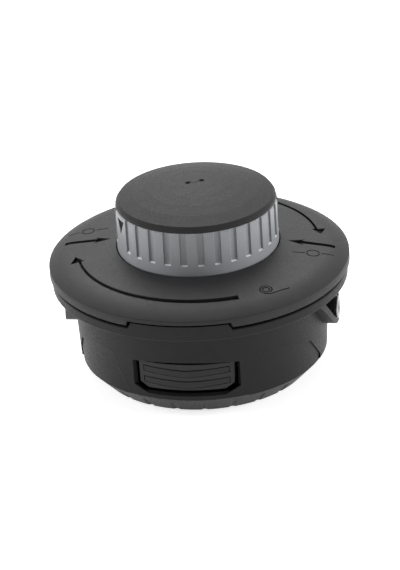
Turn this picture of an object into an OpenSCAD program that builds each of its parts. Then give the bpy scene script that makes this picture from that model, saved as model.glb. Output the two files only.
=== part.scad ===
// Bump feed trimmer head for wind-in line, standing on its drive side with the bump knob up.
// The origin is at the centre of the ring it stands on. The two line eyelets lie along X,
// the two release tabs along Y.

/* [Housing] */
// Diameter of the ring at the drive side
foot_d = 88; // [84:1:92]
// Diameter of the side wall just above the lower chamfer
wall_low_d = 104; // [103:0.5:105]
// Diameter of the side wall just under the flange
wall_high_d = 107.6; // [106.6:0.2:108.6]
// Height of the lower chamfer
chamfer_h = 8.5; // [7.5:0.5:9.5]
// Thickness of the side wall
wall_t = 2.8; // [2.4:0.1:3.2]
// Height of the housing up to the top of its flange
flange_top_z = 44.8; // [44:0.2:46]
// Width of the flange outside the side wall
flange_w = 8.2; // [7.4:0.1:8.8]
// Height of the flange's outer band
flange_band_h = 4.3; // [3.5:0.1:5]
// Thickness of the flange's plate
flange_plate_t = 2.4; // [2:0.1:2.8]
// Height of the upper face of the floor inside the housing
floor_z = 9; // [8.6:0.1:9.4]
// Thickness of the floor
floor_t = 2.4; // [2:0.1:2.8]
// Height of the rim that the cover rests on
rim_z = 47.6; // [47.2:0.1:48]
// Number of ribs under the floor
floor_ribs = 12; // [8:1:16]
// Number of shallow grooves round the lower chamfer
chamfer_grooves = 24; // [12:1:30]

/* [Drive] */
// Outside diameter of the hub that the spool turns on
hub_d = 25; // [24:0.5:26]
// Width across the flats of the drive nut
nut_af = 17; // [15:0.5:17.5]
// Height of the drive nut
nut_h = 10; // [8:0.5:10.5]
// Minor diameter of the nut's left-hand thread
nut_minor_d = 8.65; // [6.6:0.05:9]
// Diameter of the shaft hole below the nut
shaft_hole_d = 10.8; // [10.4:0.1:12]

/* [Windows and tabs] */
// Half width of a window at the outside of the wall
window_half_w = 22.2; // [21.5:0.1:22.6]
// Height of a window's lower edge
window_low_z = 10.5; // [10:0.1:11]
// Height of a window's upper edge at its ends
window_high_z = 25.1; // [24.8:0.1:25.6]
// Half width of a release tab's pad
pad_half_w = 19.9; // [19.2:0.1:20]
// Depth of a pad's face inside the wall's outer face
pad_inset = 1; // [0.6:0.1:1.3]
// Thickness of a tab's spring arm
arm_t = 2.2; // [1.8:0.1:2.3]
// Half width of a tab's spring arm
arm_half_w = 15; // [12:0.5:16]
// Gap between a tab's spring arm and the side wall
arm_gap = 0.4; // [0.3:0.1:0.8]

/* [Eyelets] */
// Height of the eyelets' axis
eyelet_z = 26.6; // [26:0.1:27.2]
// Diameter of an eyelet's flared rim
eyelet_rim_d = 9.6; // [9:0.1:10.4]
// Diameter of the hole for the line
eyelet_bore_d = 5.2; // [4:0.1:5.4]
// Distance of the seat under an eyelet's rim from the head's axis
boss_x = 56.9; // [56.5:0.1:57.2]
// Diameter of the round face that both eyelet bosses end on
boss_face_d = 115.6; // [115:0.1:116.4]
// How far an eyelet's rim stands out of its seat
eyelet_proud = 1.2; // [1:0.1:1.6]

/* [Cover] */
// Diameter of the cover, the widest part of the head
cover_d = 126; // [125.4:0.1:128]
// Height of the seam between housing and cover
seam_gap = 1.1; // [0.9:0.1:1.3]
// Height of the cover at the hole that the knob moves through
cover_crown_z = 56.6; // [56.2:0.1:57]
// Height of the cover's edge below the hole's edge
cover_edge_drop = 6.8; // [6.4:0.1:7.2]
// Thickness of the cover
cover_t = 2.4; // [2.2:0.1:2.6]

/* [Spool] */
// Gap between the spool's flanges and the tabs' spring arms
spool_gap = 3.1; // [2.8:0.1:4]
// Diameter of the core that the line is wound on
core_d = 54; // [52:1:58]
// Height between the outer faces of the spool's flanges
spool_h = 18.2; // [17.8:0.1:18.4]
// Thickness of the spool's outer flanges
spool_flange_t = 1.9; // [1.6:0.1:2.1]
// Thickness of the middle flange
divider_t = 2.6; // [2:0.1:3]
// Diameter of the straight channel for the line
channel_d = 3.8; // [3:0.1:4]
// Angle of the channel from the eyelets, one ratchet step
channel_angle = 30; // [0:30:330]

/* [Bump feed] */
// Travel of the knob when the head is bumped
bump_travel = 5; // [4:0.1:5]
// Number of ratchet teeth
teeth = 12; // [12:12:12]
// Height of a ratchet tooth on top of the spool
tooth_h = 3; // [2.4:0.1:3.1]
// Wire diameter of the feed spring
spring_wire_d = 1.6; // [1.2:0.1:1.7]
// Mean diameter of the feed spring
spring_mean_d = 36; // [35:0.5:38]
// Number of turns of the feed spring
spring_turns = 4; // [3.5:0.25:4.25]

/* [Knob] */
// Diameter of the ribbed collar
collar_d = 67.8; // [67:0.1:68]
// Thickness of the collar's wall
collar_t = 2.4; // [2:0.1:2.8]
// Gap between the collar and the cover's hole
knob_gap = 0.4; // [0.3:0.1:0.6]
// Height of the collar's lower edge
collar_low_z = 55.4; // [55:0.1:55.8]
// Height of the collar's upper edge
collar_top_z = 75.6; // [74:0.2:77]
// Number of flute positions, two of which carry a mark
flutes = 30; // [24:2:36]
// Width of a flute
flute_w = 2.8; // [2:0.1:3.2]
// Depth of a flute
flute_depth = 0.8; // [0.5:0.1:1]
// Height of the ledge where the flutes end, above the collar's lower edge
flute_ledge_h = 5.5; // [5:0.1:6.2]
// How far the wear cap stays inside the collar's outer face
cap_inset = 0.5; // [0.2:0.1:0.9]
// Height of the wear cap's rim
cap_rim_h = 2.2; // [1.8:0.1:3]
// Height of the wear cap's crown above its rim
cap_crown_h = 6.2; // [5.4:0.1:6.4]
// Diameter of the two drain holes
drain_d = 1.4; // [1:0.1:2]

/* [Hidden] */
$fn = 96;
small_fn = 32;
overrun = 1;
round_steps = 5;
body_color = "#333437";
cover_color = "#4a4b4d";
collar_color = "#8d9197";
steel_color = "#c9ccd0";

// Gap that a moving piece keeps from the next one at the end of its travel
run_gap = 0.4;

// Housing values
foot_ring_t = 2.9;
wall_slope = (wall_high_d - wall_low_d) / 2 / (flange_top_z - flange_band_h - chamfer_h);
rim_t = 4.9;
flange_lip_t = 2;
edge_round = 0.7;
rib_t = 1.8;
rib_low_z = 2.2;
hub_boss_d = 32;
hub_face_z = 1.5;
groove_depth = 0.5;
groove_w = 4.2;
mouth_fit = 0.3;
ramp_rise = 2.5;
ramp_t = 4.2;
flange_d = wall_high_d + 2 * flange_w;
ramp_in_d = flange_d - 2 * ramp_t;
ramp_low_half_w = 21.4;
ramp_top_half_w = 20.1;

// Shallow panels in the lower wall, between the windows and the eyelets
panel_depth = 0.6;
panel_angle = 54;
panel_low_front = 21.9;
panel_high_front = 15.5;
panel_high_z = 25.8;
panel_mid = 4;
panel_mid_z = 25.4;
panel_back = 10.9;
panel_back_z = 21.6;
panel_low_back = 20.5;
panel_low_z = 10.6;

// Drive values
nut_fit = 0.15;
nut_floor_z = 5;
nut_clip_t = 1.2;
nut_clip_hole_d = 11;
hub_chamfer = 0.8;

// Window and tab values
window_bevel = 1.4;
window_sill = 0.7;
window_bevel_t = 1.3;
window_arch = 1.2;
arch_steps = 8;
window_corner_z = 13.7;
window_corner_half_w = 16.1;
pad_side_gap = 0.3;
pad_top_gap = 0.6;
pad_low_z = 12.8;
pad_corner_z = 15;
pad_corner_half_w = 16.1;
pad_t = 4.2;
arm_in_d = wall_low_d - 2 * (wall_t + arm_gap + arm_t);
arm_low_z = 11.8;
arm_neck_half_w = 9;
arm_neck_low_z = 40;
arm_pivot_z = 46.7;
arm_root_fit = 0.3;
root_block_t = 4.4;
root_block_half_w = 11;
bar_h = 2.05;
bar_proud = 0.6;
bar_half_w = 17.6;
bar_sag = 1.55;
bar_top_sag = 1.1;
bar_upper_z = 20.5;
bar_lower_z = 15.5;
bar_groove_w = 0.4;
bar_groove_depth = 0.4;

// Eyelet and boss values
boss_round_d = 31.6;
boss_round_z = 36.5;
boss_wall_t = 2.6;
boss_lean = 44;
boss_steps = 20;
boss_ring_d = 11.4;
rim_recess = 0.1;
eyelet_tube_d = 7.4;
eyelet_fit = 0.05;
eyelet_inner_stand = 0.3;

// Cover values
cover_edge_round = 0.6;
cover_edge_lean = 35.5;
hole_round = 0.3;
crown_fall = 0.128;
bend_steps = 6;
skirt_t = 2.6;
skirt_in_d = cover_d - 2 * skirt_t;
hole_ring_t = 2.4;
hole_ring_h = 5.6;
seat_ring_t = 2.4;
seat_step = 0.2;
spigot_t = 2;
spigot_h = 4.1;
tooth_gap = 0.3;
tooth_step = 0.4;
tooth_base = 15.6;
tooth_top = 3.6;
low_tooth_base = 7;
low_tooth_top = 3.4;
low_tooth_lead = 2;

// Spool values
run_fit = 0.1;
bearing_t = 2.2;
web_t = 2;
web_low_z = 22.4;
core_t = 2.4;
neck_t = 2.4;
neck_plate_t = 2;
neck_top_z = 58.6;
channel_wall_t = 1.3;
channel_slot_w = 5;
slot_root = 0.4;
tooth_edge = 1.5;
tooth_w = 4;
ring_edge = 0.5;
low_tooth_edge = 4;
low_tooth_w = 5;
low_tooth_gap = 0.5;

// Spring and washers
washer_t = 0.8;
washer_w = 6.6;
washer_play = 0.6;
washer_gap = 0.3;
spring_sides = 8;
spring_steps = 22;

// Knob values
collar_fit = 0.1;
collar_web_t = 2.4;
collar_web_w = 7;
collar_round = 1.3;
collar_top_bevel = 0.5;
flute_lead = -1.3;
ledge_rise = 0.4;
mark_w = 7;
mark_h = 6.5;
mark_drop = 1.8;
mark_depth = 0.5;
screws = 3;
screw_d = 3.4;
screw_l = 11;
screw_head_d = 7;
screw_head_h = 2.4;
screw_fit = 0.1;
screw_recess_d = 2.6;
screw_recess_depth = 1.2;
screw_boss_d = 7.6;
screw_boss_h = 9;
screw_boss_gap = 1.2;
cap_t = 2.2;
cap_edge_t = 4.4;
cap_plug_t = 2;
cap_plug_h = 6.5;
cap_plug_fit = 0.2;
cap_edge_round = 1;
drain_spread = 6;
drain_angle = 25;

// Heights that follow from the values above
chamfer_run = (wall_low_d - foot_d) / 2;
floor_low_z = floor_z - floor_t;
flange_low_z = flange_top_z - flange_band_h;
cover_low_z = flange_top_z + seam_gap;
eyelet_inner_x = wall_r(eyelet_z) - wall_t - eyelet_inner_stand;
rim_in_r = wall_r(rim_z) - wall_t;
hub_top_z = eyelet_z - channel_d / 2 - channel_wall_t - bump_travel - run_gap;
bearing_low_z = floor_z + bump_travel + run_gap;
spool_low_z = eyelet_z - spool_h / 2;
spool_top_z = eyelet_z + spool_h / 2;
low_tooth_h = spool_low_z - bump_travel - floor_z - low_tooth_gap;
spring_low_z = floor_z + washer_t;
spring_top_z = web_low_z - washer_gap - washer_t;

// Diameters that follow from the values above
spool_d = arm_in_d - 2 * spool_gap;
spool_tooth_out_d = spool_d - 2 * tooth_edge;
spool_tooth_in_d = spool_tooth_out_d - 2 * tooth_w;
tooth_ring_out_d = spool_tooth_out_d - 2 * ring_edge;
tooth_ring_in_d = spool_tooth_in_d + 2 * ring_edge;
low_tooth_in_d = core_d + 2 * low_tooth_edge;
low_tooth_out_d = low_tooth_in_d + 2 * low_tooth_w;
washer_in_d = hub_d + 2 * (run_fit + bearing_t + washer_play);
washer_out_d = washer_in_d + 2 * washer_w;
collar_in_d = collar_d - 2 * collar_t;
neck_out_d = collar_in_d - 2 * collar_fit;
screw_pcd = neck_out_d - 2 * (neck_t + screw_boss_gap) - screw_boss_d;
collar_web_in_d = screw_pcd - 2 * collar_web_w;
cap_d = collar_d - 2 * cap_inset;
cover_hole_d = collar_d + 2 * knob_gap;

// The cover falls like a flat cone from its hole and bends down towards its edge
cover_edge_z = cover_crown_z - cover_edge_drop;
cover_edge_r = cover_d / 2 - cover_edge_round * (1 - sin(cover_edge_lean));
bend_fall = tan(cover_edge_lean) - crown_fall;
bend_drop = cover_crown_z - (cover_edge_r - cover_hole_d / 2) * crown_fall
    - cover_edge_z - cover_edge_round * cos(cover_edge_lean);
bend_run = 2 * bend_drop / bend_fall;
bend_r = cover_edge_r - bend_run;

// Radius of the wall's outer face at height z
function wall_r(z) = wall_low_d / 2 + (z - chamfer_h) * wall_slope;

// Height of the cover's upper face at radius r, less a depth below it
function crown_z(r, depth) = cover_crown_z - (r - cover_hole_d / 2) * crown_fall
    - pow(max(r - bend_r, 0), 2) * bend_fall / 2 / bend_run - depth;

// Points of the cover's bend from radius r0 to radius r1, at a depth below its upper face
function bend(r0, r1, depth) =
    [for (i = [0:bend_steps]) let (r = r0 + (r1 - r0) * i / bend_steps) [r, crown_z(r, depth)]];

// Points of an arc from angle a0 to angle a1
function arc(x, y, r, a0, a1) =
    [for (i = [0:round_steps]) let (a = a0 + (a1 - a0) * i / round_steps)
        [x + r * cos(a), y + r * sin(a)]];

module tube(d_out, d_in, z0, z1) {
    difference() {
        translate([0, 0, z0]) cylinder(d = d_out, h = z1 - z0);
        translate([0, 0, z0 - overrun]) cylinder(d = d_in, h = z1 - z0 + 2 * overrun);
    }
}

// A slab that stands upright across Y, drawn in X and Z and reaching from y0 to y1
module upright(y0, y1) {
    translate([0, y1, 0]) rotate([90, 0, 0]) linear_extrude(y1 - y0) children();
}

// Ratchet tooth between two radii; its square flank faces away from the winding direction
module ratchet_tooth(d_in, d_out, base, top, h) {
    intersection() {
        tube(d_out, d_in, -overrun, h);
        translate([0, -base, 0]) rotate([90, 0, 90])
            linear_extrude(d_out)
                polygon([[0, -overrun], [base, -overrun], [base, h], [base - top, h], [0, 0]]);
    }
}

module tooth_ring(d_in, d_out, base, top, h) {
    for (i = [0:teeth - 1])
        rotate(i * 360 / teeth) ratchet_tooth(d_in, d_out, base, top, h);
}

// Housing

module housing_shell() {
    rim_r = rim_in_r + rim_t;
    flange_r = flange_d / 2;
    in_low = wall_low_d / 2 - wall_t + edge_round;
    rotate_extrude() polygon(concat(
        [[0, floor_low_z], [foot_d / 2 - foot_ring_t + chamfer_run * floor_low_z / chamfer_h, floor_low_z],
         [foot_d / 2 - foot_ring_t, 0], [foot_d / 2, 0], [wall_low_d / 2, chamfer_h],
         [wall_r(flange_top_z - flange_plate_t), flange_top_z - flange_plate_t],
         [flange_r - flange_lip_t, flange_top_z - flange_plate_t], [flange_r - flange_lip_t, flange_low_z]],
        arc(flange_r - edge_round, flange_low_z + edge_round, edge_round, -90, 0),
        arc(flange_r - edge_round, flange_top_z - edge_round, edge_round, 0, 90),
        [[rim_r, flange_top_z], [rim_r, rim_z], [rim_in_r, rim_z], [in_low, floor_z], [0, floor_z]]));
}

module housing_hub() {
    translate([0, 0, hub_face_z]) cylinder(d = hub_boss_d, h = floor_z - hub_face_z);
    translate([0, 0, floor_z]) cylinder(d = hub_d, h = hub_top_z - hub_chamfer - floor_z);
    translate([0, 0, hub_top_z - hub_chamfer])
        cylinder(d1 = hub_d, d2 = hub_d - 2 * hub_chamfer, h = hub_chamfer);
}

module floor_rib() {
    intersection() {
        translate([hub_boss_d / 2 - overrun, -rib_t / 2, rib_low_z])
            cube([foot_d / 2, rib_t, floor_low_z + overrun - rib_low_z]);
        cylinder(d1 = foot_d - foot_ring_t, d2 = wall_low_d - foot_ring_t, h = chamfer_h);
    }
}

// Outline of an eyelet boss, a round bottom that widens to the flange, about the round's centre
module boss_outline(d, height) {
    r = d / 2;
    top = r * cos(boss_lean) + (height + r * sin(boss_lean)) * tan(boss_lean);
    bottom = [for (i = [0:boss_steps]) let (a = 180 + boss_lean + (180 - 2 * boss_lean) * i / boss_steps)
        [r * cos(a), r * sin(a)]];
    polygon(concat(bottom, [[top, height], [-top, height]]));
}

// The hood ends on a round face, with a recess in it for the eyelet's rim
module eyelet_boss() {
    up_h = flange_top_z - boss_round_z;
    difference() {
        intersection() {
            translate([0, 0, boss_round_z]) rotate([90, 0, 90]) linear_extrude(boss_face_d) difference() {
                boss_outline(boss_round_d, up_h + overrun);
                boss_outline(boss_round_d - 2 * boss_wall_t, up_h + 2 * overrun);
            }
            cylinder(d = boss_face_d, h = flange_top_z - flange_plate_t / 2);
        }
        translate([boss_x, 0, eyelet_z]) rotate([0, 90, 0])
            cylinder(d = eyelet_rim_d + 2 * rim_recess, h = boss_face_d);
    }
    translate([0, 0, eyelet_z]) rotate([0, 90, 0]) cylinder(d = boss_ring_d, h = boss_x);
}

// The upper edge of the flange steps up over each window, under the cover's matching notch
module ramp_outline(grow) {
    polygon([[-ramp_low_half_w - grow, 0], [ramp_low_half_w + grow, 0],
             [ramp_top_half_w + grow, ramp_rise + grow], [-ramp_top_half_w - grow, ramp_rise + grow]]);
}

module ramp() {
    intersection() {
        tube(flange_d, ramp_in_d, flange_top_z - edge_round, flange_top_z + ramp_rise);
        upright(-flange_d, 0) translate([0, flange_top_z]) {
            ramp_outline(0);
            translate([-ramp_low_half_w, -overrun]) square([2 * ramp_low_half_w, overrun]);
        }
    }
}

// The upper edge is arched; its height above the ends is a square law across the window
module window_outline() {
    polygon(concat(
        [[-window_half_w, window_corner_z], [-window_corner_half_w, window_low_z],
         [window_corner_half_w, window_low_z], [window_half_w, window_corner_z]],
        [for (i = [0:arch_steps]) let (u = 1 - 2 * i / arch_steps)
            [u * window_half_w, window_high_z + window_arch * (1 - pow(u, 2))]]));
}

// Window in the front wall; its sides and its sill are bevelled at the outer face
module window_cut() {
    out_r = wall_low_d / 2;
    side_y = sqrt(pow(out_r, 2) - pow(window_half_w, 2));
    in_half_w = window_half_w - window_bevel;
    out_half_w = window_half_w + window_bevel;
    sill_z = window_low_z + window_sill;
    intersection() {
        upright(-wall_high_d, -arm_in_d / 2 + arm_t) window_outline();
        rotate_extrude() polygon([[0, sill_z], [out_r - window_bevel_t, sill_z],
            [out_r + window_bevel_t, window_low_z - window_sill], [out_r + wall_t, window_low_z - window_sill],
            [out_r + wall_t, rim_z], [0, rim_z]]);
        linear_extrude(rim_z) polygon([[-in_half_w, 0], [-in_half_w, -side_y + window_bevel_t],
            [-out_half_w, -side_y - window_bevel_t], [-out_half_w, -wall_high_d],
            [out_half_w, -wall_high_d], [out_half_w, -side_y - window_bevel_t],
            [in_half_w, -side_y + window_bevel_t], [in_half_w, 0]]);
    }
}

module side_panel_cut() {
    intersection() {
        rotate(panel_angle) upright(-wall_high_d, 0)
            polygon([[-panel_low_front, panel_low_z], [-panel_high_front, panel_high_z],
                     [-panel_mid, panel_mid_z], [panel_back, panel_back_z], [panel_low_back, panel_low_z],
                     [panel_low_back, chamfer_h - overrun], [-panel_low_front, chamfer_h - overrun]]);
        rotate_extrude() polygon([[wall_r(0) - panel_depth, 0], [wall_r(0) + overrun, 0],
            [wall_r(flange_low_z) + overrun, flange_low_z],
            [wall_r(flange_low_z) - panel_depth, flange_low_z]]);
    }
}

module chamfer_groove() {
    lean = atan2(chamfer_run, chamfer_h);
    translate([foot_d / 2, 0, 0]) rotate([0, lean, 0])
        translate([groove_w / 2 - groove_depth, 0, -overrun])
            cylinder(d = groove_w, h = chamfer_h, $fn = small_fn);
}

module housing() {
    color(body_color) difference() {
        union() {
            housing_shell();
            housing_hub();
            for (i = [0:floor_ribs - 1]) rotate((i + 0.5) * 360 / floor_ribs) floor_rib();
            for (side = [0, 180]) rotate(side) {
                difference() {
                    eyelet_boss();
                    translate([0, 0, floor_low_z]) cylinder(d = wall_low_d - wall_t, h = rim_z);
                }
                ramp();
            }
            translate([0, 0, floor_z]) rotate(low_tooth_lead) mirror([0, 1, 0])
                tooth_ring(low_tooth_in_d, low_tooth_out_d, low_tooth_base, low_tooth_top, low_tooth_h);
        }
        for (side = [0, 180]) rotate(side) {
            window_cut();
            translate([0, 0, eyelet_z]) rotate([0, 90, 0])
                cylinder(d = eyelet_tube_d + 2 * eyelet_fit, h = boss_x + overrun);
            side_panel_cut();
            mirror([1, 0, 0]) side_panel_cut();
        }
        for (i = [0:chamfer_grooves - 1]) rotate((i + 0.5) * 360 / chamfer_grooves) chamfer_groove();
        cylinder(d = shaft_hole_d, h = hub_top_z);
        translate([0, 0, nut_floor_z])
            cylinder(d = (nut_af + 2 * nut_fit) / cos(30), h = hub_top_z, $fn = 6);
    }
}

// Drive parts

module drive_nut() {
    color(steel_color) difference() {
        translate([0, 0, nut_floor_z]) cylinder(d = nut_af / cos(30), h = nut_h, $fn = 6);
        translate([0, 0, nut_floor_z - overrun]) cylinder(d = nut_minor_d, h = nut_h + 2 * overrun);
    }
}

module nut_clip() {
    color(steel_color)
        tube(nut_af, nut_clip_hole_d, nut_floor_z + nut_h, nut_floor_z + nut_h + nut_clip_t);
}

// Eyelets

module eyelet() {
    tube_r = eyelet_tube_d / 2;
    rim_r = eyelet_rim_d / 2;
    bore_r = eyelet_bore_d / 2;
    lip = eyelet_proud / 2;
    translate([0, 0, eyelet_z]) rotate([0, 90, 0]) rotate_extrude() polygon(concat(
        [[bore_r, eyelet_inner_x], [tube_r, eyelet_inner_x], [tube_r, boss_x]],
        arc(rim_r - lip, boss_x + lip, lip, -90, 90),
        arc(bore_r + lip, boss_x + lip, lip, 90, 180)));
}

module eyelet_right() { color(steel_color) eyelet(); }

module eyelet_left() { color(steel_color) rotate(180) eyelet(); }

// Spring and washers

module spring_seat() {
    color(steel_color) tube(washer_out_d, washer_in_d, floor_z, floor_z + washer_t);
}

module thrust_washer() {
    color(steel_color) tube(washer_out_d, washer_in_d, spring_top_z, spring_top_z + washer_t);
}

// A closed tube of spring_sides sides that climbs round the axis
module feed_spring() {
    rings = spring_turns * spring_steps;
    wire_r = spring_wire_d / 2;
    rise = spring_top_z - spring_low_z - spring_wire_d;
    points = [for (i = [0:rings])
        let (a = 360 * i / spring_steps, z = spring_low_z + wire_r + rise * i / rings)
        for (j = [0:spring_sides - 1])
            let (b = 360 * (j + 0.5) / spring_sides, r = spring_mean_d / 2 + wire_r * cos(b))
            [r * cos(a), r * sin(a), z + wire_r * sin(b)]];
    sides = [for (i = [0:rings - 1]) for (j = [0:spring_sides - 1]) let (k = (j + 1) % spring_sides)
        [i * spring_sides + j, i * spring_sides + k, (i + 1) * spring_sides + k, (i + 1) * spring_sides + j]];
    start = [for (j = [spring_sides - 1:-1:0]) j];
    end = [for (j = [0:spring_sides - 1]) rings * spring_sides + j];
    color(steel_color) polyhedron(points, concat([start], [for (s = sides) [s[3], s[2], s[1], s[0]]], [end]));
}

// Spool

module spool_profile() {
    core_r = core_d / 2;
    bearing_r = hub_d / 2 + run_fit;
    neck_r = neck_out_d / 2;
    flange_r = spool_d / 2;
    rotate_extrude() {
        translate([bearing_r, bearing_low_z]) square([bearing_t, web_low_z + web_t - bearing_low_z]);
        translate([bearing_r, web_low_z]) square([core_r - bearing_r, web_t]);
        translate([core_r - core_t, spool_low_z]) square([core_t, spool_h]);
        translate([core_r - core_t, spool_low_z]) square([flange_r - core_r + core_t, spool_flange_t]);
        translate([core_r - core_t, eyelet_z - divider_t / 2])
            square([flange_r - core_r + core_t, divider_t]);
        translate([core_r - core_t, spool_top_z - spool_flange_t])
            square([flange_r - core_r + core_t, spool_flange_t]);
        translate([neck_r - neck_t, spool_top_z - spool_flange_t])
            square([neck_t, neck_top_z - spool_top_z + spool_flange_t]);
        translate([0, neck_top_z - neck_plate_t]) square([neck_r, neck_plate_t]);
    }
}

module spool() {
    color(body_color) difference() {
        union() {
            spool_profile();
            translate([0, 0, spool_top_z])
                tooth_ring(spool_tooth_in_d, spool_tooth_out_d, tooth_base, tooth_top, tooth_h);
            translate([0, 0, spool_low_z]) mirror([0, 0, 1])
                tooth_ring(low_tooth_in_d, low_tooth_out_d, low_tooth_base, low_tooth_top, low_tooth_h);
            rotate(channel_angle) translate([-core_d / 2 + core_t / 2, 0, eyelet_z]) rotate([0, 90, 0])
                cylinder(d = channel_d + 2 * channel_wall_t, h = core_d - core_t);
            for (i = [0:screws - 1]) rotate(i * 360 / screws)
                translate([screw_pcd / 2, 0, neck_top_z - screw_boss_h])
                    cylinder(d = screw_boss_d, h = screw_boss_h);
        }
        rotate(channel_angle) {
            translate([-spool_d / 2, 0, eyelet_z]) rotate([0, 90, 0]) cylinder(d = channel_d, h = spool_d);
            for (side = [0, 180]) rotate(side)
                translate([core_d / 2 + slot_root, -channel_slot_w / 2, eyelet_z - divider_t])
                    cube([spool_d / 2, channel_slot_w, 2 * divider_t]);
        }
        for (i = [0:screws - 1]) rotate(i * 360 / screws) translate([screw_pcd / 2, 0, neck_top_z - screw_l])
            cylinder(d = screw_d + 2 * screw_fit, h = screw_l + overrun);
    }
}

// Cover

module cover_shell() {
    r = cover_d / 2;
    hole_r = cover_hole_d / 2;
    lean = atan(crown_fall);
    under_edge_r = skirt_in_d / 2 - edge_round;
    rotate_extrude() polygon(concat(
        [[skirt_in_d / 2, cover_low_z], [r - edge_round, cover_low_z], [r, cover_low_z + edge_round]],
        arc(r - cover_edge_round, cover_edge_z, cover_edge_round, 0, 90 - cover_edge_lean),
        [for (i = [1:bend_steps]) bend(cover_edge_r, bend_r, 0)[i]],
        arc(hole_r + hole_round, crown_z(hole_r + hole_round, hole_round), hole_round, 90 - lean, 180),
        [[hole_r, cover_crown_z - hole_ring_h], [hole_r + hole_ring_t, cover_crown_z - hole_ring_h],
         [hole_r + hole_ring_t, crown_z(hole_r + hole_ring_t, cover_t)]],
        bend(bend_r, under_edge_r, cover_t),
        [[skirt_in_d / 2, crown_z(skirt_in_d / 2, cover_t) - edge_round]]));
}

// A ring under the cover, from height z0 up into the cover's thickness
module under_ring(d_in, d_out, z0) {
    rotate_extrude() polygon([[d_in / 2, z0], [d_out / 2, z0], [d_out / 2, crown_z(d_out / 2, cover_t / 2)],
                              [d_in / 2, crown_z(d_in / 2, cover_t / 2)]]);
}

module root_block() {
    y = -arm_in_d / 2 - arm_t / 2;
    intersection() {
        translate([-root_block_half_w, y - root_block_t / 2, arm_pivot_z + arm_t / 2 + arm_root_fit])
            cube([2 * root_block_half_w, root_block_t, cover_crown_z - arm_pivot_z]);
        rotate_extrude() polygon([[0, 0], [skirt_in_d / 2, 0],
            [skirt_in_d / 2, crown_z(skirt_in_d / 2, cover_t / 2)],
            [bend_r, crown_z(bend_r, cover_t / 2)],
            [cover_hole_d / 2, crown_z(cover_hole_d / 2, cover_t / 2)],
            [0, crown_z(cover_hole_d / 2, cover_t / 2)]]);
    }
}

module cover() {
    ring_low_z = spool_top_z + tooth_h + 2 * tooth_gap;
    spigot_r = rim_in_r - mouth_fit;
    seat_r = rim_in_r + seat_step;
    color(cover_color) difference() {
        union() {
            cover_shell();
            under_ring(2 * seat_r, 2 * (seat_r + seat_ring_t), rim_z);
            difference() {
                under_ring(2 * (spigot_r - spigot_t), 2 * spigot_r, rim_z - spigot_h);
                for (side = [0, 180]) rotate(side)
                    translate([-arm_half_w, -cover_d / 2, rim_z - spigot_h - overrun])
                        cube([2 * arm_half_w, cover_d / 2, spigot_h + overrun]);
            }
            under_ring(tooth_ring_in_d, tooth_ring_out_d, ring_low_z);
            translate([0, 0, ring_low_z]) rotate(atan(2 * tooth_gap / tooth_ring_out_d)) rotate([180, 0, 0])
                tooth_ring(tooth_ring_in_d + tooth_step, tooth_ring_out_d - tooth_step, tooth_base, tooth_top,
                           tooth_h + tooth_gap);
            for (side = [0, 180]) rotate(side) root_block();
        }
        for (side = [0, 180]) rotate(side) intersection() {
            tube(cover_d + overrun, ramp_in_d, cover_low_z - overrun, cover_edge_z);
            upright(-cover_d, 0) translate([0, flange_top_z]) ramp_outline(seam_gap);
        }
    }
}

// Release tabs

module pad_outline() {
    top_z = window_high_z - pad_top_gap;
    polygon([[-pad_half_w, top_z], [-pad_half_w + pad_side_gap, pad_corner_z],
             [-pad_corner_half_w, pad_low_z], [pad_corner_half_w, pad_low_z],
             [pad_half_w - pad_side_gap, pad_corner_z], [pad_half_w, top_z]]);
}

// Outline of a grip bar that dips at its middle, grown all round
module bar_outline(z, grow) {
    half_w = bar_half_w + grow;
    polygon([[-half_w, z - grow], [0, z - bar_sag - grow], [half_w, z - grow], [half_w, z + bar_h + grow],
             [0, z + bar_h - bar_top_sag + grow], [-half_w, z + bar_h + grow]]);
}

// Bar that is flush with the pad's face at the top and stands out at its lower edge
module grip_bar(z, pad_r) {
    low_z = z - bar_sag;
    high_z = z + bar_h;
    intersection() {
        rotate_extrude() polygon([[pad_r - pad_t / 2, low_z], [pad_r + bar_proud, low_z],
            [pad_r, high_z], [pad_r - pad_t / 2, high_z]]);
        upright(-cover_d, 0) bar_outline(z, 0);
    }
}

module tab() {
    arm_in_r = arm_in_d / 2;
    pad_r = wall_r(window_low_z) - pad_inset;
    mid_y = -arm_in_r - arm_t / 2;
    intersection() {
        tube(arm_in_d + 2 * arm_t, arm_in_d, arm_low_z, arm_neck_low_z + overrun);
        translate([-arm_half_w, -cover_d / 2, 0]) cube([2 * arm_half_w, cover_d / 2, cover_crown_z]);
    }
    translate([-arm_neck_half_w, mid_y - arm_t / 2, arm_neck_low_z])
        cube([2 * arm_neck_half_w, arm_t, arm_pivot_z - arm_neck_low_z]);
    translate([-arm_neck_half_w, mid_y, arm_pivot_z]) rotate([0, 90, 0])
        cylinder(d = arm_t, h = 2 * arm_neck_half_w, $fn = small_fn);
    difference() {
        intersection() {
            tube(2 * pad_r, 2 * (pad_r - pad_t), 0, cover_crown_z);
            upright(-cover_d, 0) pad_outline();
        }
        for (z = [bar_upper_z, bar_lower_z]) intersection() {
            tube(2 * pad_r + overrun, 2 * (pad_r - bar_groove_depth), 0, cover_crown_z);
            upright(-cover_d, 0) bar_outline(z, bar_groove_w);
        }
    }
    grip_bar(bar_upper_z, pad_r);
    grip_bar(bar_lower_z, pad_r);
}

module tab_front() { color(body_color) tab(); }

module tab_rear() { color(body_color) rotate(180) tab(); }

// Knob

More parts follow.
